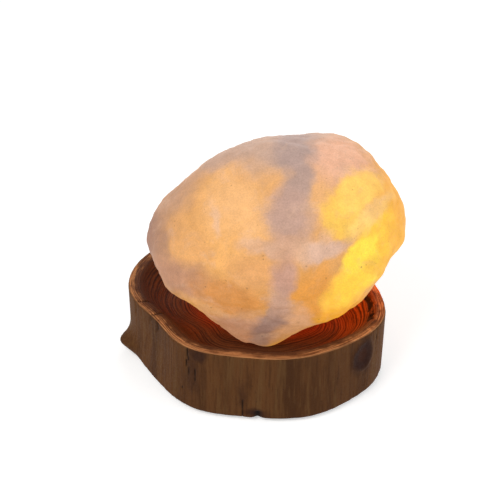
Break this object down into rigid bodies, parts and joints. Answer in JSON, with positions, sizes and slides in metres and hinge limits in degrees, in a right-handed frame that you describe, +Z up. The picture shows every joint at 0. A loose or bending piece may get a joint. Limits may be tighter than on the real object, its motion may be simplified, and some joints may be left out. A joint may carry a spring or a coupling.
{
  "type": "salt crystal lamp",
  "caption": "Table lamp: a rough rock-salt crystal, lit from inside by a small screw bulb, standing in the hollowed dish of a slice of tree trunk.",
  "frame": {"origin": "on the table, under the middle of the lamp's overall box", "axes": "+Z up; -Y towards the pictured front; the lamp's widest side runs along X"},
  "size_m": [0.204, 0.1716, 0.1714],
  "materials": {
    "salt": "matte translucent rock salt, milky and peach, lit from inside",
    "wood": "oiled slice of trunk, dark heartwood, pale sapwood rim, bare weathered side",
    "rubber": "black rubber",
    "cover_board": "black moulded plastic, fine texture",
    "zinc_steel": "zinc plated steel",
    "phenolic": "black phenolic moulding, satin",
    "ceramic": "glazed white porcelain",
    "brass": "bright brass",
    "nickel_cap": "nickel plated brass cap",
    "cap_glass": "black glass insulator",
    "solder": "tinned solder",
    "bulb_glass": "clear glass envelope",
    "filament": "tungsten wire, hot",
    "nylon": "natural nylon",
    "brown_lead": "brown insulated wire",
    "blue_lead": "blue insulated wire"
  },
  "bodies": {
    "base": {"wood_base": "wood", "bottom_cover": "cover_board", "cover_screws": "zinc_steel", "rubber_feet": "rubber", "cable_grommet": "rubber", "mounting_plate": "zinc_steel", "plate_screws": "zinc_steel", "holder_nipple": "zinc_steel", "nipple_nut": "zinc_steel", "nipple_washer": "zinc_steel", "holder_dome": "phenolic", "holder_skirt": "phenolic", "holder_insert": "ceramic", "holder_thread": "brass", "holder_centre_contact": "brass", "holder_side_contact": "brass", "holder_terminal_screws": "brass", "terminal_block": "nylon", "terminal_sleeves": "brass", "terminal_screws": "zinc_steel", "block_screw": "zinc_steel", "lead_live": "brown_lead", "lead_neutral": "blue_lead"},
    "crystal": {"salt_crystal": "salt"},
    "bulb_foot": {"bulb_centre_contact": "solder", "bulb_cap_insulator": "cap_glass"},
    "bulb": {"bulb_cap": "nickel_cap", "bulb_glass": "bulb_glass", "bulb_stem": "bulb_glass", "bulb_lead_wires": "nickel_cap", "bulb_filament": "filament", "filament_supports": "nickel_cap"}
  },
  "joints": [
    {"name": "crystal_lift", "type": "slide", "parent": "base", "child": "crystal", "axis": [0, 0, 1], "range_m": [0, 0.1]},
    {"name": "bulb_rise", "type": "slide", "parent": "base", "child": "bulb_foot", "axis": [0, 0, 1], "range_m": [0, 0.0113]},
    {"name": "bulb_turn", "type": "hinge", "parent": "bulb_foot", "child": "bulb", "pos_m": [0.01458, 0.00456, 0.06], "axis": [0, 0, 1], "range_deg": [0, 1440]}
  ],
  "couplings": [
    {"joint": "bulb_rise", "follows": "bulb_turn", "m_per_rad": 0.00044913}
  ]
}
